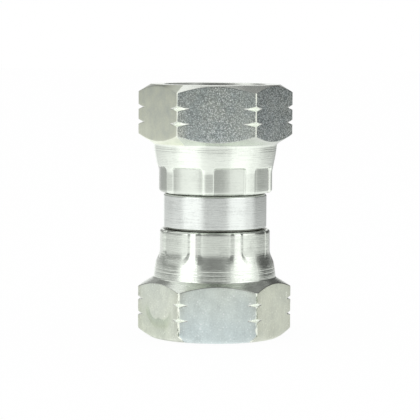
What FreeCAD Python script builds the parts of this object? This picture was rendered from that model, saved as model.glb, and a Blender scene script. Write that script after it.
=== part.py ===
import FreeCAD, Part

import math
import os

from FreeCAD import Vector

# A straight swivel adapter for hydraulic lines. One turned body has a 60 degree seat cone at
# each end and a plain band in the middle. A hexagon nut is crimped on behind the head at each
# end, so that it turns freely and can't come off. The part stands on the open face of its
# lower nut: the origin is the middle of that face, and +Z runs up the axis.
# All sizes are in millimetres.

# Pipe thread in both nuts, G 1/2 with 14 threads to the inch
THREAD_MAJOR_D = 20.955
THREAD_MINOR_D = 18.631
THREAD_PITCH = 1.814
THREAD_TURNS = 4.6
RELIEF_WIDTH = 2.8
RELIEF_CLEARANCE = 0.15
MOUTH_CHAMFER = 1.25

# Hexagon of a nut
ACROSS_FLATS = 27.0
HEX_LENGTH = 12.0
HEX_CHAMFER_DEG = 32.0
END_FACE_D = 26.0
CORNER_ROUND = 0.4
NOTCH_DEPTH = 0.95
NOTCH_ANGLE_DEG = 56.0
NOTCH_SPACING = 3.0
NOTCH_OFFSET = 0.15

# Skirt of a nut, from the hexagon down to the end that is crimped behind the head
SKIRT_ROOT_D = 24.8
COLLAR_D = 23.06
COLLAR_LENGTH = 4.6
FLARE_LENGTH = 5.2
UPPER_FLARE_BULGE = 0.06
LOWER_FLARE_BULGE = 0.2
SKIRT_END_CHAMFER = 0.45
LIP_LENGTH = 4.2

# Marks that the crimping jaws leave on the collar
JAWS = 8
RIDGE_WIDTH = 2.4
JAW_CORNER = 0.8
UPPER_CRIMP_DEPTH = 0.26
LOWER_CRIMP_DEPTH = 0.40

# How the nuts happen to stand on the body, turned about the axis
UPPER_NUT_TURN_DEG = 0.95
LOWER_NUT_TURN_DEG = 2.9
UPPER_RIDGE_AT_DEG = -97.6
LOWER_RIDGE_AT_DEG = -66.4

# Body
BORE_D = 12.0
BORE_CHAMFER = 0.4
BAND_D = 20.85
BAND_LENGTH = 7.2
BAND_CHAMFER = 0.35
NOSE_ANGLE_DEG = 60.0
NOSE_TIP_WALL = 0.95
HEAD_LENGTH = 2.7
SHOULDER_DEPTH = 0.9

# Clearances between the body and a nut
HEAD_PASS_CLEARANCE = 0.2
GUIDE_CLEARANCE = 0.3
NECK_CLEARANCE = 0.25
END_CLEARANCE = 0.1
AXIAL_PLAY = 0.35

# Radii and heights that follow from the sizes above
minor_r = THREAD_MINOR_D / 2
bore_r = BORE_D / 2
band_r = BAND_D / 2
head_r = minor_r - HEAD_PASS_CLEARANCE
neck_r = head_r - SHOULDER_DEPTH
tip_r = bore_r + NOSE_TIP_WALL
guide_r = head_r + GUIDE_CLEARANCE
lip_r = neck_r + NECK_CLEARANCE
relief_r = THREAD_MAJOR_D / 2 + RELIEF_CLEARANCE
mouth_r = minor_r + MOUTH_CHAMFER
collar_r = COLLAR_D / 2
skirt_root_r = SKIRT_ROOT_D / 2
corner_r = ACROSS_FLATS / math.sqrt(3.0)

hex_foot_z = COLLAR_LENGTH + FLARE_LENGTH
nut_length = hex_foot_z + HEX_LENGTH
thread_length = THREAD_TURNS * THREAD_PITCH
lower_band_z = nut_length + END_CLEARANCE
upper_band_z = lower_band_z + BAND_LENGTH
full_length = upper_band_z + END_CLEARANCE + nut_length


def rise(run, angle_deg):
    """Height gained over a run at an angle from the flat."""
    return run * math.tan(math.radians(angle_deg))


def turned(edges):
    """Solid made by turning a closed profile in the XZ plane about the Z axis."""
    face = Part.Face(Part.Wire(Part.__sortEdges__(edges)))
    return face.revolve(Vector(0, 0, 0), Vector(0, 0, 1), 360)


def lines(points):
    """Straight edges through points given as (radius, height)."""
    spots = [Vector(r, 0, z) for r, z in points]
    return [Part.LineSegment(a, b).toShape() for a, b in zip(spots, spots[1:])]


def bulged(start, end, bulge):
    """Arc between two (radius, height) points, bowed outwards by a small amount."""
    middle = ((start[0] + end[0]) / 2 + bulge, (start[1] + end[1]) / 2)
    spots = [Vector(r, 0, z) for r, z in (start, middle, end)]
    return Part.Arc(*spots).toShape()


def circles_at(shape, radius, height):
    """Round edges of a turned solid at a radius and height."""
    near = 1e-4
    found = []
    for edge in shape.Edges:
        box = edge.BoundBox
        flat = abs(box.ZMin - height) < near and abs(box.ZMax - height) < near
        if flat and abs(box.XMax - radius) < near:
            found.append(edge)
    return found


def notch(height, outer_r):
    """Outline of one V groove, turned only deep enough to cross the hexagon's corners."""
    root_r = corner_r - NOTCH_DEPTH
    half_mouth = rise(outer_r - root_r, NOTCH_ANGLE_DEG / 2)
    return [
        (outer_r, height + half_mouth),
        (root_r, height),
        (outer_r, height - half_mouth),
    ]


def nut_blank(flare_bulge):
    """Turned nut before its flats are cut: skirt end at height 0, open end at the top."""
    # The turning runs past the corners of the hexagon, which the bar's flats then cut off.
    outer_r = corner_r + NOTCH_DEPTH
    end_face_r = END_FACE_D / 2
    middle = hex_foot_z + HEX_LENGTH / 2 - NOTCH_OFFSET
    top_chamfer = rise(outer_r - end_face_r, HEX_CHAMFER_DEG)
    foot_chamfer = rise(outer_r - skirt_root_r, HEX_CHAMFER_DEG)
    outside = [(end_face_r, nut_length), (outer_r, nut_length - top_chamfer)]
    outside += notch(middle + NOTCH_SPACING / 2, outer_r)
    outside += notch(middle - NOTCH_SPACING / 2, outer_r)
    outside += [(outer_r, hex_foot_z + foot_chamfer), (skirt_root_r, hex_foot_z)]
    flare_start = (skirt_root_r, hex_foot_z)
    flare_end = (collar_r, COLLAR_LENGTH)

    thread_top = nut_length - MOUTH_CHAMFER
    relief_top = thread_top - thread_length
    relief_foot = relief_top - RELIEF_WIDTH
    guide_top = relief_foot - (relief_r - guide_r)
    shoulder_top = LIP_LENGTH + (guide_r - lip_r)
    inside = [
        (collar_r, COLLAR_LENGTH),
        (collar_r, 0),
        (lip_r, 0),
        (lip_r, LIP_LENGTH),
        (guide_r, shoulder_top),
        (guide_r, guide_top),
        (relief_r, relief_foot),
        (relief_r, relief_top),
        (minor_r, relief_top),
        (minor_r, thread_top),
        (mouth_r, nut_length),
        (end_face_r, nut_length),
    ]
    edges = lines(outside) + [bulged(flare_start, flare_end, flare_bulge)] + lines(inside)
    blank = turned(edges)
    return blank.makeChamfer(SKIRT_END_CHAMFER, circles_at(blank, collar_r, 0))


def hexagon_bar():
    """Hexagon bar as long as a nut, with its corners slightly rounded."""
    corners = []
    for side in range(7):
        turn = math.radians(60 * side)
        corners.append(Vector(corner_r * math.cos(turn), corner_r * math.sin(turn), 0))
    bar = Part.Face(Part.makePolygon(corners)).extrude(Vector(0, 0, nut_length))
    upright = [e for e in bar.Edges if e.BoundBox.ZLength > nut_length / 2]
    return bar.makeFillet(CORNER_ROUND, upright)


def jaw(depth):
    """Space that one crimping jaw presses out of the collar, centred on the +X axis."""
    # The jaw's foot slopes inwards, so that the pressed end of the skirt keeps its chamfer.
    panel_r = collar_r - depth
    outer_r = collar_r + depth
    below = -depth
    ridge_deg = math.degrees(RIDGE_WIDTH / collar_r)
    jaw_deg = 360.0 / JAWS - ridge_deg
    corners = [
        (panel_r, SKIRT_END_CHAMFER),
        (panel_r - SKIRT_END_CHAMFER - depth, below),
        (outer_r, below),
        (outer_r, COLLAR_LENGTH),
        (panel_r, COLLAR_LENGTH),
        (panel_r, SKIRT_END_CHAMFER),
    ]
    face = Part.Face(Part.Wire(lines(corners)))
    block = face.revolve(Vector(0, 0, 0), Vector(0, 0, 1), jaw_deg)
    block.rotate(Vector(0, 0, 0), Vector(0, 0, 1), -jaw_deg / 2)
    top_corners = []
    for edge in block.Edges:
        box = edge.BoundBox
        at_top = box.ZLength < 1e-6 and abs(box.ZMax - COLLAR_LENGTH) < 1e-6
        if at_top and edge.Curve.TypeId == "Part::GeomLine":
            top_corners.append(edge)
    return block.makeFillet(JAW_CORNER, top_corners)


def swivel_nut(crimp_depth, flare_bulge, ridge_at_deg):
    """Crimped hexagon nut, skirt end at height 0, with one ridge at the given angle."""
    nut = nut_blank(flare_bulge).common(hexagon_bar())
    block = jaw(crimp_depth)
    pitch_deg = 360.0 / JAWS
    for number in range(JAWS):
        mark = block.copy()
        turn = ridge_at_deg + pitch_deg * (number + 0.5)
        mark.rotate(Vector(0, 0, 0), Vector(0, 0, 1), turn)
        nut = nut.cut(mark)
    return nut


def half_outline():
    """Outside of the upper half of the body as (radius, height) above the band's top."""
    # The shoulder runs parallel to the one inside the nut, which the play keeps apart.
    shoulder_foot = END_CLEARANCE + LIP_LENGTH - NECK_CLEARANCE + AXIAL_PLAY
    head_foot = shoulder_foot + SHOULDER_DEPTH
    head_top = head_foot + HEAD_LENGTH
    nose_length = (head_r - tip_r) / math.tan(math.radians(NOSE_ANGLE_DEG / 2))
    tip = head_top + nose_length
    return [
        (band_r - BAND_CHAMFER, 0),
        (neck_r, 0),
        (neck_r, shoulder_foot),
        (head_r, head_foot),
        (head_r, head_top),
        (tip_r, tip),
        (bore_r + BORE_CHAMFER, tip),
        (bore_r, tip - BORE_CHAMFER),
    ]


def adapter_body():
    """Turned body: cone, head and neck at each end of a plain band, with one bore."""
    half = half_outline()
    upper = [(r, upper_band_z + z) for r, z in half]
    lower = [(r, lower_band_z - z) for r, z in half]
    band = [(band_r, upper_band_z - BAND_CHAMFER), (band_r, lower_band_z + BAND_CHAMFER)]
    outline = list(reversed(upper)) + band + lower
    return turned(lines(outline + [outline[0]]))


def upper_nut():
    """Nut at the top, with its open end up."""
    nut = swivel_nut(
        UPPER_CRIMP_DEPTH, UPPER_FLARE_BULGE, UPPER_RIDGE_AT_DEG - UPPER_NUT_TURN_DEG
    )
    nut.rotate(Vector(0, 0, 0), Vector(0, 0, 1), UPPER_NUT_TURN_DEG)
    nut.translate(Vector(0, 0, upper_band_z + END_CLEARANCE))
    return nut


def lower_nut():
    """Nut at the foot, turned over so that its open end is down."""
    nut = swivel_nut(
        LOWER_CRIMP_DEPTH, LOWER_FLARE_BULGE, LOWER_NUT_TURN_DEG - LOWER_RIDGE_AT_DEG
    )
    nut.rotate(Vector(0, 0, 0), Vector(1, 0, 0), 180)
    nut.rotate(Vector(0, 0, 0), Vector(0, 0, 1), LOWER_NUT_TURN_DEG)
    nut.translate(Vector(0, 0, nut_length))
    return nut


def main():
    os.makedirs("parts", exist_ok=True)
    pieces = {
        "adapter_body": adapter_body(),
        "upper_swivel_nut": upper_nut(),
        "lower_swivel_nut": lower_nut(),
    }
    for name, shape in pieces.items():
        solid = shape.Solids[0] if len(shape.Solids) == 1 else shape
        solid.exportStep("parts/%s.step" % name)
        print(name, len(shape.Solids), "solid", round(shape.Volume, 2), "mm3", shape.isValid())
    print("length", round(full_length, 3))
    return pieces


main()
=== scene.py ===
import math

import bpy
import numpy as np
from mathutils import Matrix, Vector


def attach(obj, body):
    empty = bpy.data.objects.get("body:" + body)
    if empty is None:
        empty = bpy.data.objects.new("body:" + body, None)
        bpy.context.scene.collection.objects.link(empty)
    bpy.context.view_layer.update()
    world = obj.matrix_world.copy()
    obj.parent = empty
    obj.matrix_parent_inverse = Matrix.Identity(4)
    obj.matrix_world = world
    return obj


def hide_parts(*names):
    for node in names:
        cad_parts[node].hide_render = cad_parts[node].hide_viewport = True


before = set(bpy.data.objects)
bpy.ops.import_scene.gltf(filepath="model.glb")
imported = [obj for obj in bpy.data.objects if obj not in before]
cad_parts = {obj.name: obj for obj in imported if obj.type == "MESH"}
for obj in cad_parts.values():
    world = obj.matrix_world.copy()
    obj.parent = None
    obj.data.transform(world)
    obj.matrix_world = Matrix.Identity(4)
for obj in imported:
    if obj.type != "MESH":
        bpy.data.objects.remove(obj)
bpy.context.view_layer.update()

# Sizes are in millimetres, as in the solids, until a mesh is made.
MM = 0.001

# Hexagon of a nut, and the turned shape that cuts its corners
ACROSS_FLATS = 27.0
FLAT_WIDTH = ACROSS_FLATS / math.sqrt(3.0)
END_FACE_R = 13.0
CHAMFER_SLOPE = math.tan(math.radians(32.0))
NOTCH_SLOPE = math.tan(math.radians(28.0))
NUT_LENGTH = 21.8
HEX_FOOT = 9.8
SKIRT_ROOT_R = 12.4

# Skirt, its turned grooves and its crimp marks
COLLAR_R = 11.53
WALL_EASE = 0.3
GROOVE_DEPTH = 0.025
GROOVE_WIDTH = 0.07
JAWS = 8
JAW_PITCH = 360.0 / JAWS

# Inside of a nut
LIP_R = 8.4655
LIP_EDGE = 0.15
LIP_LENGTH = 4.2
GUIDE_R = 9.4155
RELIEF_R = 10.6275
RELIEF_TOP = 12.206
RELIEF_WIDTH = 2.8
MINOR_R = 9.3155
MAJOR_R = 10.4775
PITCH = 1.814
THREAD_ROW = 0.15
MOUTH_R = 10.5655

# Body, and the gap that it leaves to each nut
BAND_LOW = 21.9
BAND_HIGH = 29.1
BAND_R = 10.425
NECK_R = 8.2155
SHOULDER = 4.4
HEAD_R = 9.1155
HEAD_LENGTH = 2.7
UNDERCUT_R = 9.65
NOSE_SLOPE = math.tan(math.radians(30.0))
TIP_R = 6.95
BORE_R = 6.0
BORE_CHAMFER = 0.4
BODY_COLUMNS = 192
END_CLEARANCE = 0.1

# How far each nut is turned on the axis, in degrees
UPPER_TURN = 0.95
LOWER_TURN = 2.9

# Stain on one flat of the lower nut: its middle, half width, top and drop
STAIN_SHIFT = 0.9
STAIN_HALF = 4.6
STAIN_TOP = 11.0
STAIN_DROP = 6.6

# Depth of the materials' bump, in metres
BUMP = 0.00008
FINE_BUMP = 0.00005


def smooth(x):
    """Ease from 0 to 1."""
    x = np.clip(x, 0.0, 1.0)
    return x * x * (3.0 - 2.0 * x)


def hexagon_r(angle, corner_round):
    """Distance from the axis to a round-cornered hexagon with corners at 0, 60, ... degrees."""
    turn = np.abs((angle + 30.0) % 60.0 - 30.0)
    flat = ACROSS_FLATS / 2 / np.cos(np.radians(30.0 - turn))
    slant = math.cos(math.radians(30.0))
    centre = (ACROSS_FLATS / 2 - corner_round) / slant
    rad = np.radians(turn)
    inside = np.maximum(corner_round**2 - (centre * np.sin(rad)) ** 2, 0.0)
    corner = centre * np.cos(rad) + np.sqrt(inside)
    tangent = math.atan2(corner_round * 0.5, centre + corner_round * slant)
    return np.where(rad < tangent, corner, flat)


def rounded(points, reach, steps):
    """Rounds the corners of profiles. points holds, for each corner, an array of (r, z) per
    column; the first and last only give directions. Each corner becomes steps stations."""
    made = []
    for k in range(1, len(points) - 1):
        before, here, after = points[k - 1], points[k], points[k + 1]
        back = before - here
        ahead = after - here
        back_len = np.linalg.norm(back, axis=1, keepdims=True)
        ahead_len = np.linalg.norm(ahead, axis=1, keepdims=True)
        near = np.minimum(reach[k], 0.45 * np.minimum(back_len, ahead_len))
        start = here + back / back_len * near
        end = here + ahead / ahead_len * near
        for s in np.linspace(0.0, 1.0, steps[k]):
            made.append((1 - s) ** 2 * start + 2 * s * (1 - s) * here + s * s * end)
    return made


class Profile:
    """Stations of a turned wall, in order round the section, with the zone of each."""

    def __init__(self, columns):
        self.columns = columns
        self.stations = []
        self.zones = []

    def add(self, station, zone):
        self.stations.append(station)
        self.zones.append(zone)

    def line(self, end, count, zone):
        """count stations on the way from the last station to end, without end itself."""
        start = self.stations[-1]
        for s in np.arange(1, count + 1) / (count + 1.0):
            self.add(start * (1 - s) + end * s, zone)

    def corners(self, points, reach, steps, between, zones):
        """Rounded corners, with some stations on the straight runs before each of them."""
        for k in range(1, len(points) - 1):
            arc = rounded(points[k - 1 : k + 2], [0, reach[k], 0], [0, steps[k], 0])
            if between[k]:
                self.line(arc[0], between[k], zones[k])
            for n, station in enumerate(arc):
                self.add(station, zones[k] if n < steps[k] / 2 else zones[k + 1])

    def spot(self, r, z):
        """The same (r, z) in every column, or one per column."""
        made = np.empty((self.columns, 2))
        made[:, 0] = r
        made[:, 1] = z
        return made


def spread(angles, gap, keep):
    """Sorted angles in one turn, without those closer than gap to one that is kept."""
    kept = sorted(a % 360.0 for a in keep)
    for a in angles:
        a = a % 360.0
        near = min(abs((a - b + 180.0) % 360.0 - 180.0) for b in kept)
        if near >= gap:
            kept.append(a)
    return np.array(sorted(kept))


def jaw_share(angle, height, nut, number):
    """How far into one jaw's mark a spot is, from 0 to 1, and its place across the mark.
    Towards its top a mark may narrow, and its sides waver and get softer."""
    wide, tall, _, shift = nut["jaws"][number]
    centre = nut["ridge_at"] + JAW_PITCH * (number + 0.5)
    turn = (angle - centre + 180.0) % 360.0 - 180.0
    across = np.radians(turn) * COLLAR_R - shift
    half = (math.radians(JAW_PITCH) * COLLAR_R - nut["ridge"]) / 2 + wide
    top = nut["jaw_top"] + tall
    up = np.clip(height - (top - nut["jaw_corner"]), 0.0, nut["jaw_corner"])
    edge = half - nut["jaw_corner"] + np.sqrt(nut["jaw_corner"] ** 2 - up**2)
    taper_below, taper_span = 1.2, 2.4
    edge = edge - nut["taper"] * smooth((height - top + taper_below) / taper_span)
    wave = np.sin(9.7 * height + 5.0 * number) * np.sin(4.1 * height + 2.0 * number)
    edge = edge + nut["ragged"] * wave
    spread_below, spread_span = 0.6, 1.4
    soft = nut["side_soft"] + nut["spread"] * smooth((height - top + spread_below) / spread_span)
    share = smooth(0.5 - (np.abs(across) - edge) / soft)
    fade = 1 - smooth((height - top) / nut["fade"])
    return share * fade, across / half


def turned_wall(height, nut):
    """Radius of the skirt as turned, with its bends eased, before the jaws press it."""
    nearby = height + np.linspace(-WALL_EASE, WALL_EASE, 7)
    return np.mean(np.interp(nearby, nut["flare_z"], nut["flare_r"]))


def pressed(angle, height, nut):
    """Depth that the jaws have pressed into the collar at an angle and height."""
    total = np.zeros(np.broadcast(angle, height).shape)
    widening = max(turned_wall(height, nut) - COLLAR_R, 0.0)
    for number in range(JAWS):
        share, place = jaw_share(angle, height, nut, number)
        deep = nut["depth"] + nut["jaws"][number][2] + nut["lean"] * place
        deep = deep + nut["upright"] * widening
        total = np.maximum(total, deep * share)
    return total


def thread_r(angle, height):
    """Wall of the right-hand pipe thread: part wave, part straight flanks, so that its
    crests and roots come out rounded."""
    turn = ((height - angle / 360.0 * PITCH) / PITCH) % 1.0
    tri = np.abs(turn - 0.5) * 2.0
    wave = 0.5 - 0.5 * np.cos(math.pi * np.clip((tri - 0.10) / 0.80, 0, 1))
    straight = np.clip((tri - 0.16) / 0.68, 0, 1)
    return MINOR_R + (MAJOR_R - MINOR_R) * (0.35 * wave + 0.65 * straight)


def nut_profile(angle, nut):
    """Stations of a swivel nut for each column angle: skirt end at 0, open end at NUT_LENGTH."""
    made = Profile(len(angle))
    spot = made.spot
    flat_r = hexagon_r(angle, nut["corner"])
    end_round = nut["end_round"]

    def skirt(height):
        wall = turned_wall(height, nut)
        for at in nut["grooves"]:
            wall -= GROOVE_DEPTH * math.exp(-(((height - at) / GROOVE_WIDTH) ** 2))
        return wall

    # Skirt end face, its rolled edge and the crimped collar, with close rows where marks end
    made.add(spot(LIP_R, LIP_EDGE), "inside")
    made.add(spot(LIP_R + 0.03, 0.06), "inside")
    made.add(spot(LIP_R + 0.12, 0.0), "face")
    for r in (9.2, 9.8, 10.3):
        made.add(spot(r, 0.0), "face")
    for turn in np.radians(np.linspace(0.0, 75.0, 6)):
        height = nut["end_rise"] * (1 - math.cos(turn))
        r = skirt(height) - pressed(angle, height, nut) - end_round * (1 - math.sin(turn))
        made.add(spot(r, height), "skirt")
    crimp = list(np.linspace(nut["end_rise"], 3.9, nut["crimp_rows"]))
    crimp += list(np.arange(4.1, 5.5, 0.1)) + list(np.linspace(5.6, 9.2, 13))
    for at in nut["grooves"]:
        crimp += [at + step * GROOVE_WIDTH for step in (-2, -1, 0, 1, 2)]
    for height in sorted(crimp):
        r = skirt(height) - pressed(angle, height, nut)
        made.add(spot(r, height), "skirt")

    # Hexagon: root, foot chamfer, flats with two notches at the corners, top chamfer
    foot = HEX_FOOT + (flat_r - SKIRT_ROOT_R) * CHAMFER_SLOPE
    top = NUT_LENGTH - (flat_r - END_FACE_R) * CHAMFER_SLOPE
    root = spot(SKIRT_ROOT_R, HEX_FOOT)
    points = [root + 2 * (made.stations[-1] - root), root, spot(flat_r, foot)]
    middle = (HEX_FOOT + NUT_LENGTH) / 2 - nut["notch_offset"]
    root_r = FLAT_WIDTH - nut["notch_depth"]
    deep = np.maximum(flat_r - root_r, 0.0)
    half = np.maximum(deep * NOTCH_SLOPE, 0.14)
    for side in (-1, 1):
        at = middle + side * nut["notch_spacing"] / 2
        points += [spot(flat_r, at - half), spot(flat_r - deep, at), spot(flat_r, at + half)]
    points += [spot(flat_r, top), spot(END_FACE_R, NUT_LENGTH), spot(MOUTH_R, NUT_LENGTH)]
    points += [spot(MOUTH_R - 0.6, NUT_LENGTH - 0.6)]
    edge = nut["edge"]
    notch_edges = [0.07, 0.16, 0.07]
    reach = [0, nut["root_round"], nut["foot_edge"]] + notch_edges * 2 + [edge, edge, 0.1, 0]
    steps = [0, 8, 4] + [3] * 6 + [4, 4, 3, 0]
    between = [0, 0, 4, 4, 1, 1, 4, 1, 1, 4, 3, 4, 0]
    zones = ["", "skirt", "foot", "flat", "notch", "notch", "flat", "notch", "notch"]
    zones += ["flat", "top", "end", "mouth"]
    made.corners(points, reach, steps, between, zones)

    # Mouth chamfer and thread, then the relief, guide and lip that hold the body's head
    for height in np.arange(NUT_LENGTH - 0.25, RELIEF_TOP + 0.04, -THREAD_ROW):
        wall = thread_r(angle, height)
        cone = MOUTH_R - (NUT_LENGTH - height)
        made.add(spot(np.maximum(wall, cone), height), "thread")
    last = thread_r(angle, RELIEF_TOP)
    guide_top = RELIEF_TOP - RELIEF_WIDTH - (RELIEF_R - GUIDE_R)
    points = [
        made.stations[-1],
        spot(last, RELIEF_TOP),
        spot(RELIEF_R, RELIEF_TOP),
        spot(RELIEF_R, RELIEF_TOP - RELIEF_WIDTH),
        spot(GUIDE_R, guide_top),
        spot(GUIDE_R, LIP_LENGTH + GUIDE_R - LIP_R),
        spot(LIP_R, LIP_LENGTH),
        spot(LIP_R, LIP_EDGE),
    ]
    reach = [0, 0.02, 0.06, 0.15, 0.15, 0.12, 0.12, 0]
    steps = [0, 2, 3, 3, 3, 3, 3, 0]
    made.corners(points, reach, steps, [0, 0, 0, 2, 1, 3, 1, 0], ["inside"] * 8)
    made.line(spot(LIP_R, LIP_EDGE), 3, "inside")
    return made


def body_profile(angle):
    """Stations of the turned body, up the outside and down the bore. The band's ends are
    undercut, which leaves the dark line between the band and each nut; the gap's faces
    also take a dark colour, painted shade that deepens that line."""
    made = Profile(len(angle))
    spot = made.spot
    head = SHOULDER + (HEAD_R - NECK_R)
    head_top = head + HEAD_LENGTH
    tip = head_top + (HEAD_R - TIP_R) / NOSE_SLOPE

    def half(chamfer, gap):
        """Corners from the bore to the band's edge, as heights from the band's end."""
        return [
            (BORE_R, tip - BORE_CHAMFER),
            (BORE_R + BORE_CHAMFER, tip),
            (TIP_R, tip),
            (HEAD_R, head_top),
            (HEAD_R, head),
            (NECK_R, SHOULDER),
            (NECK_R, 0.0),
            (UNDERCUT_R, 0.0),
            (UNDERCUT_R, -gap),
            (BAND_R - chamfer, -gap),
            (BAND_R, -gap - chamfer),
        ]

    low_half = [spot(r, BAND_LOW - z) for r, z in half(chamfer=0.12, gap=0.3)]
    high_half = [spot(r, BAND_HIGH + z) for r, z in reversed(half(chamfer=0.3, gap=0.14))]
    start = spot(BORE_R, (BAND_LOW + BAND_HIGH) / 2)
    points = [start] + low_half + high_half + [start]
    reach = [0.15, 0.1, 0.15, 0.2, 0.12, 0.12, 0.5, 0.05, 0.05, 0.06, 0.1]
    steps = [3, 3, 3, 3, 3, 3, 5, 3, 3, 3, 4]
    between = [4, 1, 1, 4, 3, 1, 3, 3, 1, 1, 1]
    zones = ["bore", "face", "face", "seat", "head", "head"]
    zones += ["neck", "neck", "gap", "gap", "band"]
    made.add(start, "bore")
    made.corners(
        points,
        [0] + reach + reach[::-1] + [0],
        [0] + steps + steps[::-1] + [0],
        [0] + between + [8] + between[:0:-1] + [0],
        [""] + zones + ["band"] + zones[:0:-1] + ["bore"],
    )
    made.line(start, 3, "bore")
    return made


def face_materials(made, finishes, shape):
    """Number of the material that each face of a turned mesh takes."""
    number = np.zeros(shape, dtype=np.int32)
    for index, (_, zones) in enumerate(finishes):
        for zone, where in zones.items():
            rows = np.array([z == zone for z in made.zones])
            number[rows[:, None] & np.broadcast_to(where, shape)] = index
    return number


def shell(name, angle, made, place, finishes, values):
    """Mesh of a closed turned section: one ring of quads per pair of stations. values are
    kept on its points, for its materials to read."""
    profile = np.array(made.stations)
    stations, columns = profile.shape[:2]
    rad = np.radians(angle)[None, :]
    radius, height = profile[:, :, 0], profile[:, :, 1]
    spots = np.stack([radius * np.cos(rad), radius * np.sin(rad), height], axis=-1)
    turn = np.array(place.to_3x3())
    spots = (spots * MM) @ turn.T + np.array(place.translation)
    i, j = np.meshgrid(np.arange(stations), np.arange(columns), indexing="ij")
    i2, j2 = (i + 1) % stations, (j + 1) % columns
    corners = [i * columns + j, i * columns + j2, i2 * columns + j2, i2 * columns + j]
    quads = np.stack(corners, axis=-1).reshape(-1, 4)
    area = np.cross(spots[i2, j2] - spots[i, j], spots[i2, j] - spots[i, j2])
    normal = np.zeros_like(spots)
    for a, b in ((i, j), (i, j2), (i2, j2), (i2, j)):
        np.add.at(normal, (a, b), area)
    normal /= np.linalg.norm(normal, axis=-1, keepdims=True)

    mesh = bpy.data.meshes.new(name)
    mesh.vertices.add(stations * columns)
    mesh.vertices.foreach_set("co", spots.reshape(-1).astype(np.float32))
    mesh.loops.add(quads.size)
    mesh.loops.foreach_set("vertex_index", quads.reshape(-1).astype(np.int32))
    mesh.polygons.add(len(quads))
    mesh.polygons.foreach_set("loop_start", np.arange(0, quads.size, 4, dtype=np.int32))
    for finish, _ in finishes:
        mesh.materials.append(finish)
    number = face_materials(made, finishes, (stations, columns))
    mesh.polygons.foreach_set("material_index", number.reshape(-1))
    mesh.update(calc_edges=True)
    mesh.validate()
    mesh.polygons.foreach_set("use_smooth", np.ones(len(quads), dtype=bool))
    for key, value in values.items():
        layer = mesh.attributes.new(key, "FLOAT", "POINT")
        grid = np.broadcast_to(value, (stations, columns))
        layer.data.foreach_set("value", np.ascontiguousarray(grid, np.float32).reshape(-1))
    mesh.normals_split_custom_set_from_vertices(normal.reshape(-1, 3).tolist())
    obj = bpy.data.objects.new(name, mesh)
    bpy.context.scene.collection.objects.link(obj)
    return obj


class Nodes:
    """A material's node tree, with a shorter way to add and link nodes."""

    def __init__(self, name):
        self.material = bpy.data.materials.new(name)
        self.material.use_nodes = True
        self.tree = self.material.node_tree
        self.shader = self.tree.nodes["Principled BSDF"]
        self.output = self.tree.nodes["Material Output"]

    def add(self, kind, settings=None, **inputs):
        node = self.tree.nodes.new(kind)
        for key, value in (settings or {}).items():
            setattr(node, key, value)
        for key, value in inputs.items():
            self.set(node.inputs[key.replace("_", " ")], value)
        return node

    def set(self, socket, value):
        if isinstance(value, bpy.types.NodeSocket):
            self.tree.links.new(value, socket)
        else:
            socket.default_value = value

    def math(self, operation, *values, clamp=False):
        node = self.add("ShaderNodeMath", {"operation": operation, "use_clamp": clamp})
        for socket, value in zip(node.inputs, values):
            self.set(socket, value)
        return node.outputs[0]

    def blend(self, parts):
        """Sum of values, each times its share."""
        total = 0.0
        for value, share in parts:
            total = self.math("MULTIPLY_ADD", value, share, total)
        return total

    def noise(self, vector, scale, detail, rough):
        node = self.add("ShaderNodeTexNoise", Scale=scale, Detail=detail, Roughness=rough)
        self.set(node.inputs["Vector"], vector)
        return node.outputs["Fac"]

    def stretched(self, x=1.0, y=1.0, z=1.0):
        """The object's own coordinates, scaled on each axis."""
        place = self.add("ShaderNodeTexCoord").outputs["Object"]
        return self.add("ShaderNodeMapping", Vector=place, Scale=(x, y, z)).outputs[0]

    def ramp(self, value, stops):
        """Colour by value, from stops of (place, colour)."""
        node = self.add("ShaderNodeValToRGB", Fac=value)
        band = node.color_ramp
        band.elements[0].position = stops[0][0]
        band.elements[1].position = stops[-1][0]
        for at, _ in stops[1:-1]:
            band.elements.new(at)
        for element, (_, colour) in zip(band.elements, stops):
            element.color = (*colour, 1.0)
        return node.outputs["Color"]

    def span(self, value, low, high):
        """A value from 0 to 1, spread over low to high."""
        node = self.add("ShaderNodeMapRange", Value=value)
        node.inputs["To Min"].default_value = low
        node.inputs["To Max"].default_value = high
        return node.outputs[0]

    def attribute(self, name):
        return self.add("ShaderNodeAttribute", {"attribute_name": name}).outputs["Fac"]

    def attribute_colour(self, name):
        return self.combine(self.attribute(name))

    def combine(self, value):
        """Grey of a value."""
        node = self.add("ShaderNodeCombineColor")
        for socket in node.inputs:
            self.set(socket, value)
        return node.outputs[0]

    def mix(self, kind, fac, a, b):
        node = self.add("ShaderNodeMix", {"data_type": "RGBA", "blend_type": kind})
        for socket, value in ((0, fac), (6, a), (7, b)):
            self.set(node.inputs[socket], value)
        return node.outputs[2]

    def finish(self, colour, rough, bump, strength, distance):
        node = self.add("ShaderNodeBump", Height=bump, Strength=strength, Distance=distance)
        self.set(self.shader.inputs["Base Color"], colour)
        self.set(self.shader.inputs["Roughness"], rough)
        self.set(self.shader.inputs["Metallic"], 1.0)
        self.set(self.shader.inputs["Normal"], node.outputs[0])
        return self.material


def grey(value, tint=(1.0, 1.0, 1.0)):
    return tuple(value * t for t in tint)


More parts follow.
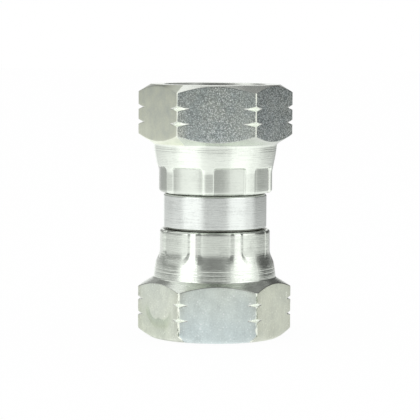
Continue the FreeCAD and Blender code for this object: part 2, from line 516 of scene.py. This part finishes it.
def turned_zinc(name, low, high, rough, lines, tint, marked=False):
    """Bright zinc over a turned surface: fine lines round the axis and soft cloudy stains.
    A marked surface takes its tone and the strength of its lines from the mesh."""
    n = Nodes(name)
    place = n.stretched()
    ring = n.noise(n.stretched(90.0, 90.0, 4600.0), scale=1.0, detail=3.0, rough=0.65)
    scratch = n.noise(n.stretched(420.0, 420.0, 7500.0), scale=1.0, detail=2.0, rough=0.6)
    broad = n.noise(n.stretched(110.0, 110.0, 520.0), scale=1.0, detail=3.0, rough=0.55)
    cloud = n.noise(place, scale=330.0, detail=4.0, rough=0.65)
    pits = n.noise(place, scale=2600.0, detail=2.0, rough=0.6)
    lined = n.math("SUBTRACT", n.blend([(ring, 0.55), (scratch, 0.45)]), 0.5)
    if marked:
        lined = n.math("MULTIPLY", lined, n.attribute("lined"))
    level = n.blend([(lined, 0.42), (broad, 0.2), (cloud, 0.2), (pits, 0.18)])
    colour = n.ramp(level, [(0.18, grey(low, tint)), (0.30, grey(high, tint))])
    if marked:
        colour = n.mix("MULTIPLY", 1.0, colour, n.attribute_colour("tone"))
    gloss = n.span(cloud, rough - 0.05, rough + 0.09)
    return n.finish(colour, gloss, lined, lines, BUMP)


def tinted(n, cloud, strength):
    """Zinc colour from the mesh's tone, and its cloudy tint from blue at 0 to olive at 1."""
    drift = n.math("MULTIPLY", n.math("SUBTRACT", cloud, 0.5), strength)
    tint = n.ramp(
        n.math("ADD", n.attribute("warm"), drift),
        [(0.0, (0.88, 1.0, 0.99)), (0.5, (0.925, 1.0, 0.91)), (1.0, (0.955, 1.0, 0.835))],
    )
    return n.mix("MULTIPLY", 1.0, n.attribute_colour("tone"), tint)


def from_corner(n):
    """Distance in millimetres from the nearest vertical edge of the hexagon."""
    return n.math("SUBTRACT", FLAT_WIDTH / 2, n.attribute("across"))


def painted_edge_highlight(n, colour, rough, width, scuffs):
    """Painted highlight: a bright line along a flat's vertical edges, uneven, standing in for
    the glint of the rounded corners, broken by dull scuffs."""
    along = n.noise(n.stretched(1100.0, 1100.0, 620.0), scale=1.0, detail=3.0, rough=0.7)
    uneven = n.math("MULTIPLY", n.math("SUBTRACT", along, 0.5), 3.2)
    near = n.math("SUBTRACT", 1.0, n.math("DIVIDE", from_corner(n), width))
    # Painted highlight: bright near the corners, unevenly
    edge_glint = n.math("MULTIPLY", n.math("ADD", near, uneven), 2.2, clamp=True)
    edge_glint = n.math("MULTIPLY", edge_glint, n.math("GREATER_THAN", near, -1.2))
    scuffed = n.math("MULTIPLY", n.math("SUBTRACT", 0.53, along, clamp=True), scuffs)
    scuffed = n.math("MULTIPLY", scuffed, n.math("MAXIMUM", near, 0.0))
    edge_glint = n.math("MULTIPLY", edge_glint, n.math("SUBTRACT", 1.0, scuffed, clamp=True))
    worn = n.mix("MULTIPLY", scuffed, colour, (0.5, 0.52, 0.47, 1.0))
    bright = n.mix("MIX", edge_glint, worn, (0.93, 0.97, 0.86, 1.0))
    return bright, n.math("SUBTRACT", rough, n.math("MULTIPLY", edge_glint, 0.1))


def grained_flat(name):
    """Hexagon flat of a rough drawn bar under thin zinc: a tight speckle of light and dark."""
    n = Nodes(name)
    place = n.stretched()
    fine = n.noise(place, scale=5600.0, detail=1.0, rough=0.5)
    coarse = n.noise(place, scale=2900.0, detail=2.0, rough=0.6)
    cloud = n.noise(place, scale=260.0, detail=3.0, rough=0.6)
    grain = n.blend([(fine, 0.6), (coarse, 0.4)])
    amount = n.attribute("grain")
    speck = n.math("MULTIPLY", n.math("MAXIMUM", n.math("SUBTRACT", grain, 0.5), -0.055), 4.4)
    spark = n.math("MULTIPLY", n.math("SUBTRACT", fine, 0.60, clamp=True), 9.0)
    speck = n.math("MULTIPLY", n.math("ADD", speck, spark), amount)
    broad = n.math("MULTIPLY", n.math("SUBTRACT", cloud, 0.5), 0.5)
    level = n.math("MAXIMUM", n.math("ADD", n.math("ADD", speck, broad), 0.99), 0.12)
    colour = n.mix("MULTIPLY", 1.0, tinted(n, cloud, strength=1.1), n.combine(level))
    gloss = n.span(n.math("MULTIPLY", grain, amount), 0.30, 0.44)
    colour, gloss = painted_edge_highlight(n, colour, gloss, width=0.2, scuffs=2.0)
    return n.finish(colour, gloss, grain, 0.25, BUMP)


def stain_level(n):
    """Dried drop on a flat: a clean pale patch with a dark rim under it. out is 1 on the
    patch's outline, and the rim shows only round its lower half."""
    height = n.attribute("height")
    wide = n.math("POWER", n.math("DIVIDE", n.attribute("off_stain"), STAIN_HALF), 3.0)
    drop = n.math("DIVIDE", n.math("SUBTRACT", height, STAIN_TOP), STAIN_DROP)
    tall = n.math("POWER", n.math("MAXIMUM", drop, 0.0), 3.0)
    out = n.math("POWER", n.math("ADD", wide, tall), 0.333)
    wobble = n.noise(n.stretched(), scale=300.0, detail=2.0, rough=0.5)
    out = n.math("ADD", out, n.math("MULTIPLY", n.math("SUBTRACT", wobble, 0.5), 0.25))
    rim = n.ramp(
        n.math("SUBTRACT", out, 0.5),
        [
            (0.0, (0.98, 0.98, 1.0)),
            (0.45, (1.0, 1.0, 1.0)),
            (0.49, (1.0, 1.0, 0.99)),
            (0.525, (0.76, 0.80, 0.76)),
            (0.70, (0.79, 0.82, 0.75)),
            (0.82, (0.93, 0.94, 0.92)),
        ],
    )
    low = n.math("MULTIPLY", n.math("SUBTRACT", height, 14.5), 0.5, clamp=True)
    rim = n.mix("MIX", low, (0.97, 0.97, 0.98, 1.0), rim)
    return n.mix("MIX", n.attribute("stain"), (0.95, 0.95, 0.95, 1.0), rim)


def satin_flat(name):
    """Hexagon flat under clear zinc: pale, smooth, with faint cloudy stains."""
    n = Nodes(name)
    place = n.stretched()
    fine = n.noise(place, scale=3400.0, detail=2.0, rough=0.5)
    cloud = n.noise(place, scale=170.0, detail=3.0, rough=0.55)
    mist = n.noise(n.stretched(z=0.6), scale=620.0, detail=3.0, rough=0.6)
    spark = n.math("MULTIPLY", n.math("SUBTRACT", fine, 0.64, clamp=True), 4.5)
    level = n.blend([(cloud, 0.42), (mist, 0.38), (fine, 0.3)])
    level = n.math("ADD", n.math("ADD", level, 0.45), spark)
    corner = n.math("SUBTRACT", 1.0, n.math("DIVIDE", from_corner(n), 2.0), clamp=True)
    patch = n.math("MULTIPLY", n.math("SUBTRACT", mist, 0.46, clamp=True), corner)
    level = n.math("SUBTRACT", level, n.math("MULTIPLY", patch, 1.6))
    colour = n.mix("MULTIPLY", 1.0, tinted(n, cloud, strength=0.4), n.combine(level))
    colour = n.mix("MULTIPLY", 1.0, colour, stain_level(n))
    gloss = n.span(cloud, 0.27, 0.4)
    colour, gloss = painted_edge_highlight(n, colour, gloss, width=0.32, scuffs=14.0)
    return n.finish(colour, gloss, mist, 0.12, BUMP)


def plain_zinc(name, colour, rough):
    """Zinc on a surface that is only seen inside the ports or in the gaps: even, a little dull.
    In the gaps, its dark colour is painted shade.
    """
    n = Nodes(name)
    cloud = n.noise(n.stretched(), scale=400.0, detail=3.0, rough=0.6)
    ring = n.noise(n.stretched(80.0, 80.0, 4000.0), scale=1.0, detail=2.0, rough=0.5)
    shade = n.ramp(cloud, [(0.3, grey(0.8)), (0.6, grey(1.0))])
    mixed = n.mix("MULTIPLY", 1.0, (*colour, 1.0), shade)
    return n.finish(mixed, n.span(cloud, rough - 0.05, rough + 0.06), ring, 0.15, FINE_BUMP)


def nut_columns(nut):
    """Column angles of a nut: dense at the hexagon's corners and at the crimp's ridges."""
    tight = nut["corner"] / 0.45
    near_corner = [0, 0.22 * tight, 0.45 * tight, 0.68 * tight, 0.92 * tight, 1.7, 2.6, 3.6]
    near_corner += [4.9, 6.1, 7.1, 8.2, 10.0, 12.5, 15.0, 17.5, 20.0, 22.5, 25.0, 27.5]
    keep = []
    for corner in range(6):
        for step in near_corner[:5]:
            keep += [60 * corner + step, 60 * corner - step]
    keep = sorted(set(keep))
    more = []
    half_ridge = math.degrees(nut["ridge"] / 2 / COLLAR_R)
    for number in range(JAWS):
        at = nut["ridge_at"] + JAW_PITCH * number
        for step in (-0.45, -0.15, 0.15, 0.45, 1.0, 1.8, 2.7, 3.7):
            more += [at + half_ridge + step, at - half_ridge - step]
        more += [at, at + JAW_PITCH / 2]
    for corner in range(6):
        for step in near_corner[5:]:
            more += [60 * corner + step, 60 * corner - step]
        more.append(60 * corner + 30)
    return spread(more, 0.26, keep)


def by_face(angle, values):
    """The value of the hexagon's flat that each column angle is on."""
    number = np.floor(angle / 60.0).astype(int)
    return np.array(values)[number % 6]


# The two nuts. Angles are in degrees and lengths in millimetres. In each list of six there is
# one value per flat of the hexagon, and in "marks" there is one darkening per jaw.
#   corner, edge, foot_edge: roundings of the hexagon's corners, top edge and foot edge
#   end_round, end_rise, root_round: roundings of the skirt's end and of its root
#   grooves, crimp_rows: heights of the turned grooves, and rows of mesh along the collar
#   ridge_at, ridge: angle of the first ridge between two jaw marks, and a ridge's width
#   depth, lean, upright: depth of a mark, its tilt, and how far it stays upright on the flare
#   jaw_top, jaw_corner, fade: height of a mark, its corners, and the length it fades out over
#   taper, ragged, side_soft, spread: how a mark's sides narrow, waver and get softer
#   notch_...: spacing, offset and depth of the two notches at each corner
#   flare_z, flare_r: the turned skirt's radius by height
#   mark_shade_slope: painted shading across a mark, lighter on one side and darker on the other
#   panel, ridge_tone, flare_tone, top_tone: tones of the marks, ridges, flare and top chamfer
#   foot_tone, foot_shade: tone of the foot chamfer, and painted shade that darkens it at the
#       front
#   rim_shade, corner_dark, corner_warm: painted shade at the skirt's end, and darkening and tint
#   at the hexagon's corners
#   flare_lines: strength of the turned lines on the flare
#   dull, dull_foot: flats whose chamfers look as they do, and whether the foot's does too
#   tone, warm and their ..._rise: tone and tint of the flats, and their change with height
#   grain, stain: strength of the speckle, and which flat has the stain
upper = {
    "corner": 0.45,
    "end_round": 0.65,
    "end_rise": 0.65,
    "root_round": 0.5,
    "ridge_at": -97.6 - UPPER_TURN,
    "ridge": 2.35,
    "depth": 0.26,
    "lean": 0.12,
    "upright": 1.0,
    "jaw_top": 5.25,
    "jaw_corner": 0.4,
    "taper": 0.0,
    "ragged": 0.0,
    "side_soft": 0.3,
    "spread": 0.0,
    "fade": 0.16,
    "crimp_rows": 7,
    "grooves": [8.6, 9.02],
    "edge": 0.13,
    "foot_edge": 0.13,
    "notch_spacing": 3.0,
    "notch_offset": 0.15,
    "notch_depth": 0.98,
    "flare_z": [0.0, 0.6, 4.3, 4.7, 5.2, 6.0, 7.2, 8.4, 9.2, 9.8],
    "flare_r": [11.48, 11.53, 11.53, 11.62, 11.71, 11.87, 12.11, 12.3, 12.39, 12.42],
    "marks": [0.1, -0.12, 0.05, 0.1, 0.04, 0.1, 0.34, 0.05],
    "mark_shade_slope": 0.07,
    "panel": 0.97,
    "ridge_tone": 1.11,
    "flare_tone": 1.11,
    "rim_shade": 0.25,
    "foot_tone": 0.88,
    "foot_shade": 0.0,
    "top_tone": 0.77,
    "flare_lines": 1.15,
    "corner_dark": 0.0,
    "corner_warm": 0.3,
    "dull": [False, False, False, True, False, False],
    "dull_foot": True,
    "tone": [0.62, 0.68, 0.7, 0.85, 0.55, 0.485],
    "tone_rise": [-0.03, -0.05, -0.05, -0.16, -0.16, -0.09],
    "warm": [0.3, 0.4, 0.6, 1.0, 0.26, 0.16],
    "warm_rise": [-0.2, -0.2, -0.2, -0.1, 0.0, 0.0],
    "grain": [0.8, 0.8, 0.5, 0.08, 1.2, 2.0],
    "stain": [0] * 6,
}
lower = {
    "corner": 0.7,
    "end_round": 0.6,
    "end_rise": 0.6,
    "root_round": 0.27,
    "ridge_at": LOWER_TURN + 66.4,
    "ridge": 2.0,
    "depth": 0.37,
    "lean": 0.03,
    "upright": 0.0,
    "jaw_top": 4.6,
    "jaw_corner": 0.12,
    "taper": 0.4,
    "ragged": 0.04,
    "side_soft": 1.0,
    "spread": 1.0,
    "fade": 2.3,
    "crimp_rows": 14,
    "grooves": [7.8, 8.5],
    "edge": 0.3,
    "foot_edge": 0.14,
    "notch_spacing": 3.1,
    "notch_offset": 0.18,
    "notch_depth": 0.84,
    "flare_z": [0.0, 3.8, 4.4, 4.9, 5.7, 6.5, 7.3, 8.1, 8.6, 9.4, 9.8],
    "flare_r": [11.5, 11.52, 11.53, 11.57, 11.73, 11.92, 12.08, 12.19, 12.26, 12.38, 12.44],
    "marks": [0.0, 0.12, 0.08, 0.04, 0.06, 0.03, 0.05, 0.05],
    "mark_shade_slope": 0.0,
    "panel": 1.03,
    "ridge_tone": 1.16,
    "flare_tone": 1.06,
    "rim_shade": 0.0,
    "foot_tone": 0.94,
    "foot_shade": 0.17,
    "top_tone": 1.0,
    "flare_lines": 1.1,
    "corner_dark": 0.04,
    "corner_warm": 0.3,
    "dull": [True] * 6,
    "dull_foot": False,
    "tone": [0.79, 0.85, 0.73, 0.86, 0.87, 0.84],
    "tone_rise": [0.0, 0.04, -0.12, 0.0, 0.0, 0.0],
    "warm": [0.93, 0.45, 0.7, 0.6, 0.4, 0.8],
    "warm_rise": [0.0, -0.55, 0.1, 0.0, -0.2, -0.1],
    "grain": [0] * 6,
    "stain": [0, 0, 1, 0, 0, 0],
}

# Each jaw's own width, height, depth and shift, on top of its nut's. Jaws that the photograph
# shows plainly have theirs set.
draw = np.random.default_rng(20)
JAW_SPREAD = (0.07, 0.07, 0.02, 0.05)
for nut in (upper, lower):
    nut["jaws"] = [tuple(draw.uniform(-1, 1, 4) * JAW_SPREAD) for _ in range(JAWS)]
upper["jaws"][6] = (0.6, 0.0, 0.0, -0.55)
lower["jaws"][0] = (0.0, 0.4, -0.15, 0.0)
lower["jaws"][1] = (0.0, 0.3, -0.1, 0.0)
lower["jaws"][7] = (0.05, 0.3, -0.1, 0.0)

OLIVE = (0.945, 1.0, 0.915)
skirt_upper = turned_zinc("zinc_skirt_upper", 0.79, 0.90, 0.18, 0.6, OLIVE, marked=True)
skirt_lower = turned_zinc("zinc_skirt_lower", 0.72, 0.90, 0.16, 0.6, OLIVE, marked=True)
band_zinc = turned_zinc("zinc_band", 0.775, 0.945, 0.13, 0.4, (0.955, 1.0, 0.96))
edge_zinc = turned_zinc("zinc_edges", 0.86, 0.97, 0.24, 0.3, (0.965, 1.0, 0.935))
inner_zinc = plain_zinc("zinc_inside", (0.68, 0.71, 0.66), 0.33)
thread_zinc = plain_zinc("zinc_thread", (0.82, 0.85, 0.79), 0.27)
# Painted shade: the faces inside the gaps between the band and each nut take a dark colour
shaded_gap_zinc = plain_zinc("zinc_gap_shaded", (0.47, 0.49, 0.44), 0.5)
# Painted shade: the skirt's end face, which looks into the gap to the band, takes a dark colour
shaded_rim_zinc = plain_zinc("zinc_rim_shaded", (0.58, 0.6, 0.55), 0.35)
flat_upper = grained_flat("zinc_flats_grained")
flat_lower = satin_flat("zinc_flats_satin")


def nut_finishes(angle, nut, flats, skirt):
    """Materials of a nut, each with its zones and, for each zone, the columns it takes."""
    notch_margin = 0.02
    notch_r = FLAT_WIDTH - nut["notch_depth"] + notch_margin
    cut = hexagon_r(angle, nut["corner"]) > notch_r
    cut = cut | np.roll(cut, -1)
    dull = by_face(angle, nut["dull"])
    dull_foot = dull & nut["dull_foot"]
    return [
        (skirt, {"skirt": True, "foot": ~dull_foot}),
        # The skirt's end face takes painted shade
        (shaded_rim_zinc, {"face": True}),
        (edge_zinc, {"mouth": True, "end": True, "notch": cut, "top": ~dull}),
        (flats, {"flat": True, "notch": ~cut, "top": dull, "foot": dull_foot}),
        (thread_zinc, {"thread": True}),
        (inner_zinc, {"inside": True}),
    ]


def hexagon_tones(angle, made, nut, height, across):
    """Tone and tint of the hexagon, by flat, by height and by nearness to a corner."""
    rise = (height - HEX_FOOT) / (NUT_LENGTH - HEX_FOOT)
    away = FLAT_WIDTH / 2 - across
    tone = by_face(angle, nut["tone"]) + by_face(angle, nut["tone_rise"]) * (rise - 0.5)
    tone = tone - nut["corner_dark"] * np.exp(-((away / 1.3) ** 2))
    on_top = np.array([zone == "top" for zone in made.zones])[:, None]
    tone = tone * np.where(on_top, nut["top_tone"], 1.0)
    warm = by_face(angle, nut["warm"]) + by_face(angle, nut["warm_rise"]) * rise
    warm = warm + nut["corner_warm"] * np.exp(-((away / 1.4) ** 2)) * (1 - rise)
    return tone, warm


def skirt_tone(angle, nut, height, on_flare):
    """Tone of the skirt and the foot chamfer. The lower nut's front is at 90 degrees."""
    share = np.zeros(height.shape)
    marks = np.zeros(height.shape)
    for number in range(JAWS):
        in_jaw, place = jaw_share(angle[None, :], height, nut, number)
        share = np.maximum(share, in_jaw)
        # Painted shading across each mark: its tone rises from one side to the other
        marks = marks + in_jaw * (nut["marks"][number] - nut["mark_shade_slope"] * place)
    skirt = nut["ridge_tone"] + (nut["panel"] - nut["ridge_tone"]) * share - marks
    skirt = skirt + (nut["flare_tone"] - skirt) * on_flare
    # Painted shade at the skirt's end, next to the gap to the band
    skirt = skirt * (1 - nut["rim_shade"] * (1 - smooth(height / 0.2)))
    on_foot = smooth((height - HEX_FOOT + 0.1) / 0.3)
    # Painted shade: the foot chamfer is darkened towards the front
    from_front = (angle - 90.0 + 180.0) % 360.0 - 180.0
    front_width = 20.0
    front = np.exp(-((from_front / front_width) ** 2))
    foot_tone = nut["foot_tone"] - nut["foot_shade"] * front
    return skirt * (1 - on_foot) + foot_tone * on_foot


def nut_values(angle, made, nut):
    """Values that the nut's materials read from its mesh, on the hexagon and on the skirt."""
    height = np.array(made.stations)[:, :, 1]
    side = ACROSS_FLATS / 2 * np.tan(np.radians(angle % 60.0 - 30.0))[None, :]
    on_flare = smooth((height - nut["jaw_top"]) / 0.6)
    tone, warm = hexagon_tones(angle, made, nut, height, np.abs(side))
    on_hexagon = np.array([zone not in ("skirt", "foot") for zone in made.zones])[:, None]
    dull_foot = by_face(angle, nut["dull"]) & nut["dull_foot"]
    on_hexagon = on_hexagon | (dull_foot & (height > HEX_FOOT))
    collar_lines = 0.65
    return {
        "tone": np.where(on_hexagon, tone, skirt_tone(angle, nut, height, on_flare)),
        "warm": np.clip(warm, 0.0, 1.0),
        "across": np.abs(side),
        "height": height,
        "lined": collar_lines + (nut["flare_lines"] - collar_lines) * on_flare,
        "grain": by_face(angle, nut["grain"]),
        "stain": by_face(angle, nut["stain"]) * smooth((side + 6.0) / 3.0),
        "off_stain": np.abs(side + STAIN_SHIFT),
    }


def lay(piece, body, node):
    """Hangs a piece under the body it rides on, and hides the node it stands for."""
    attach(piece, body)
    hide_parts(node)


def make_nut(name, nut, flats, skirt, place):
    angle = nut_columns(nut)
    made = nut_profile(angle, nut)
    finishes = nut_finishes(angle, nut, flats, skirt)
    return shell(name, angle, made, place, finishes, nut_values(angle, made, nut))


def make_body():
    angle = np.linspace(0.0, 360.0, BODY_COLUMNS, endpoint=False)
    finishes = [
        (band_zinc, {"band": True, "face": True}),
        (inner_zinc, {"bore": True, "head": True, "neck": True, "seat": True}),
        # The gap zone takes painted shade, a dark colour for the shade inside the gaps
        (shaded_gap_zinc, {"gap": True}),
    ]
    return shell("body", angle, body_profile(angle), Matrix.Identity(4), finishes, {})


lift_upper = Matrix.Translation((0, 0, (BAND_HIGH + END_CLEARANCE) * MM))
turn_upper = Matrix.Rotation(math.radians(UPPER_TURN), 4, "Z")
piece = make_nut("upper_nut", upper, flat_upper, skirt_upper, lift_upper @ turn_upper)
lay(piece, "upper_nut", "upper_swivel_nut")

lift_lower = Matrix.Translation((0, 0, NUT_LENGTH * MM))
turn_lower = Matrix.Rotation(math.radians(LOWER_TURN), 4, "Z")
flip = Matrix.Rotation(math.pi, 4, "X")
piece = make_nut("lower_nut", lower, flat_lower, skirt_lower, lift_lower @ turn_lower @ flip)
lay(piece, "lower_nut", "lower_swivel_nut")

lay(make_body(), "body", "adapter_body")


def stage_sheet(name, corners, material):
    """Flat quad that is not part of the object, from four corners in metres."""
    mesh = bpy.data.meshes.new(name)
    mesh.from_pydata(corners, [], [(0, 1, 2, 3)])
    mesh.materials.append(material)
    obj = bpy.data.objects.new(name, mesh)
    bpy.context.scene.collection.objects.link(obj)


def seen_directly(tree):
    """1 for camera, glossy and transmission rays, and 0 for the rest."""
    path = tree.nodes.new("ShaderNodeLightPath")
    total = path.outputs["Is Camera Ray"]
    for name in ("Is Glossy Ray", "Is Transmission Ray"):
        node = tree.nodes.new("ShaderNodeMath")
        node.operation = "MAXIMUM"
        tree.links.new(total, node.inputs[0])
        tree.links.new(path.outputs[name], node.inputs[1])
        total = node.outputs[0]
    return total


WHITE_SHARE = 0.95


def floor_material():
    """Pale floor: white where it is seen, with a faint share of its own light and shadow."""
    material = bpy.data.materials.new("pale_floor")
    material.use_nodes = True
    tree = material.node_tree
    tree.nodes.clear()
    diffuse = tree.nodes.new("ShaderNodeBsdfDiffuse")
    diffuse.inputs["Color"].default_value = (0.9, 0.9, 0.9, 1.0)
    glow = tree.nodes.new("ShaderNodeEmission")
    share = tree.nodes.new("ShaderNodeMath")
    share.operation = "MULTIPLY"
    share.inputs[1].default_value = WHITE_SHARE
    tree.links.new(seen_directly(tree), share.inputs[0])
    mix = tree.nodes.new("ShaderNodeMixShader")
    out = tree.nodes.new("ShaderNodeOutputMaterial")
    tree.links.new(share.outputs[0], mix.inputs[0])
    tree.links.new(diffuse.outputs[0], mix.inputs[1])
    tree.links.new(glow.outputs[0], mix.inputs[2])
    tree.links.new(mix.outputs[0], out.inputs[0])
    return material


# Grey flags round the object, which only reflections see. Angles are in degrees: azimuth from
# the camera's side, positive to the camera's right, and height above the horizon. Each row is
# middle, half width and softness of its azimuth, low, high and softness of its height, level.
FLAGS = [
    (50, 22, 16, -90, 1, 4, 0.92),
    (-90, 15, 18, -90, 90, 12, 0.70),
    (90, 20, 16, -90, 1, 4, 0.67),
    (106, 18, 8, 1, 24, 6, 0.60),
    (-128, 27, 18, -90, 1, 4, 0.60),
    (134, 38, 16, -90, 1, 4, 0.42),
    (-121, 46, 12, 2, 24, 8, 0.31),
    (-148, 22, 12, 24, 46, 8, 0.26),
    (134, 36, 12, 0, 36, 8, 0.10),
    (139, 35, 14, 36, 50, 8, 0.20),
    (139, 35, 14, 50, 64, 8, 0.18),
    (0, 180, 1, 66, 95, 10, 0.38),
    (0, 180, 1, 72, 95, 6, 0.17),
    (1.5, 27.5, 14, -90, 1, 4, 0.47),
    (-0.5, 31, 14, 4, 76, 14, 0.23),
]
DOME_R = 1.2


def window(distance, half, soft):
    """1 within half of the middle and 0 beyond, with a soft edge."""
    return smooth((half - distance) / soft + 0.5)


def studio_level(azimuth, height):
    """Brightness of the studio in a direction, where 1 is the white of the background."""
    level = np.ones(np.broadcast(azimuth, height).shape)
    for middle, half, soft, low, high, height_soft, grey_level in FLAGS:
        share = window(np.abs((azimuth - middle + 180.0) % 360.0 - 180.0), half, soft)
        share = share * window(np.abs(height - (low + high) / 2), (high - low) / 2, height_soft)
        level = level * (1 - share) + grey_level * share
    return level


def flag_mesh(name, spots, level):
    """Grid of soft grey patches, from spots of rows by columns, without its parts at level 1,
    which the white world behind them shows just as well."""
    least = 0.005
    rows, columns = spots.shape[:2]
    mesh = bpy.data.meshes.new(name)
    faces = []
    for i in range(rows - 1):
        for j in range(columns - 1):
            if np.abs(level[i : i + 2, j : j + 2] - 1.0).max() > least:
                a = i * columns + j
                faces.append((a, a + 1, a + columns + 1, a + columns))
    mesh.from_pydata(spots.reshape(-1, 3).tolist(), [], faces)
    layer = mesh.attributes.new("level", "FLOAT", "POINT")
    layer.data.foreach_set("value", level.reshape(-1).astype(np.float32))
    n = Nodes(name + "_grey")
    glow = n.add("ShaderNodeEmission", Color=n.attribute_colour("level"))
    n.tree.links.new(glow.outputs[0], n.output.inputs[0])
    n.tree.nodes.remove(n.shader)
    n.material.cycles.emission_sampling = "NONE"
    mesh.materials.append(n.material)
    obj = bpy.data.objects.new(name, mesh)
    bpy.context.scene.collection.objects.link(obj)
    obj.visible_camera = False
    obj.visible_diffuse = False
    obj.visible_transmission = False
    obj.visible_shadow = False


def flags_round(turn):
    """The flags above the floor, as patches of a dome."""
    lift = np.arange(0.0, 90.1, 3.0)[:, None]
    a, e = np.radians(turn), np.radians(lift)
    spots = [np.sin(a) * np.cos(e), -np.cos(a) * np.cos(e), np.sin(e) + 0 * a]
    flag_mesh("flags_round", DOME_R * np.stack(spots, axis=-1), studio_level(turn, lift))


def flags_floor(turn):
    """The flags below the horizon, as a disc just above the floor. Close to the object they
    give way to the floor's own level, with a painted shadow of the object on the right."""
    height = 0.0004
    a = np.radians(turn)
    reach = np.geomspace(0.0132, DOME_R, 30)[:, None]
    near = 1 - smooth((reach - 0.05) / 0.24)
    far = studio_level(turn, -10.0) * (1.06 - 0.12 * smooth((reach - 0.3) / 0.9))
    level = far * (1 - near) + near * np.minimum(0.66 + 0.46 * far, 1.12)
    # Painted shadow of the object on the floor that reflections see, to the right
    painted_shadow = window(np.abs(turn - 60.0), 45.0, 40.0) * (1 - smooth((reach - 0.02) / 0.03))
    level = level * (1 - 0.22 * painted_shadow)
    spots = [reach * np.sin(a), -reach * np.cos(a), height + 0 * a + 0 * reach]
    flag_mesh("flags_floor", np.stack(spots, axis=-1), level)


def white_world():
    world = bpy.data.worlds.new("studio")
    bpy.context.scene.world = world
    world.use_nodes = True
    sky = world.node_tree.nodes["Background"]
    sky.inputs["Color"].default_value = (1.0, 1.0, 1.0, 1.0)
    sky.inputs["Strength"].default_value = 1.0


azimuths = np.arange(-180.0, 180.1, 3.0)[None, :]
flags_round(azimuths)
flags_floor(azimuths)
stage_sheet("floor", [(-3, -3, 0), (3, -3, 0), (3, 3, 0), (-3, 3, 0)], floor_material())
white_world()


OBJECT_MIDDLE = Vector((0.0, 0.0, 0.0255))


def softbox(name, azimuth, elevation, distance, size, power):
    """Square lamp that looks at the object, from an angle right of the camera's side."""
    lamp = bpy.data.lights.new(name, "AREA")
    lamp.shape = "SQUARE"
    lamp.size = size
    lamp.energy = power
    obj = bpy.data.objects.new(name, lamp)
    bpy.context.scene.collection.objects.link(obj)
    a, e = math.radians(azimuth), math.radians(elevation)
    away = Vector((math.sin(a) * math.cos(e), -math.cos(a) * math.cos(e), math.sin(e)))
    obj.location = OBJECT_MIDDLE + away * distance
    obj.rotation_mode = "QUATERNION"
    obj.rotation_quaternion = away.to_track_quat("Z", "Y")


softbox("soft_left", azimuth=-53, elevation=25, distance=1.0, size=0.5, power=0.8)
softbox("soft_right", azimuth=60, elevation=25, distance=1.0, size=0.5, power=0.5)

# Camera, in metres. The photograph's size and the view's shift are in pixels.
DISTANCE = 0.450
FIELD_WIDTH = 0.0850
ELEVATION = math.radians(4.65)
ROLL = math.radians(0.37)
SENSOR_WIDTH = 36.0
PHOTO_SIZE = 420.0
VIEW_SHIFT = -4.9


def add_camera():
    data = bpy.data.cameras.new("camera")
    camera = bpy.data.objects.new("camera", data)
    bpy.context.scene.collection.objects.link(camera)
    bpy.context.scene.camera = camera
    data.sensor_width = SENSOR_WIDTH
    data.lens = SENSOR_WIDTH * DISTANCE / FIELD_WIDTH
    data.shift_x = VIEW_SHIFT / PHOTO_SIZE
    data.clip_start = 0.01
    data.clip_end = 20.0
    away = Vector((0.0, -math.cos(ELEVATION), math.sin(ELEVATION)))
    camera.location = OBJECT_MIDDLE + away * DISTANCE
    aim = away.to_track_quat("Z", "Y").to_matrix() @ Matrix.Rotation(ROLL, 3, "Z")
    camera.rotation_euler = aim.to_euler()


add_camera()
bpy.context.scene.view_settings.view_transform = "Standard"
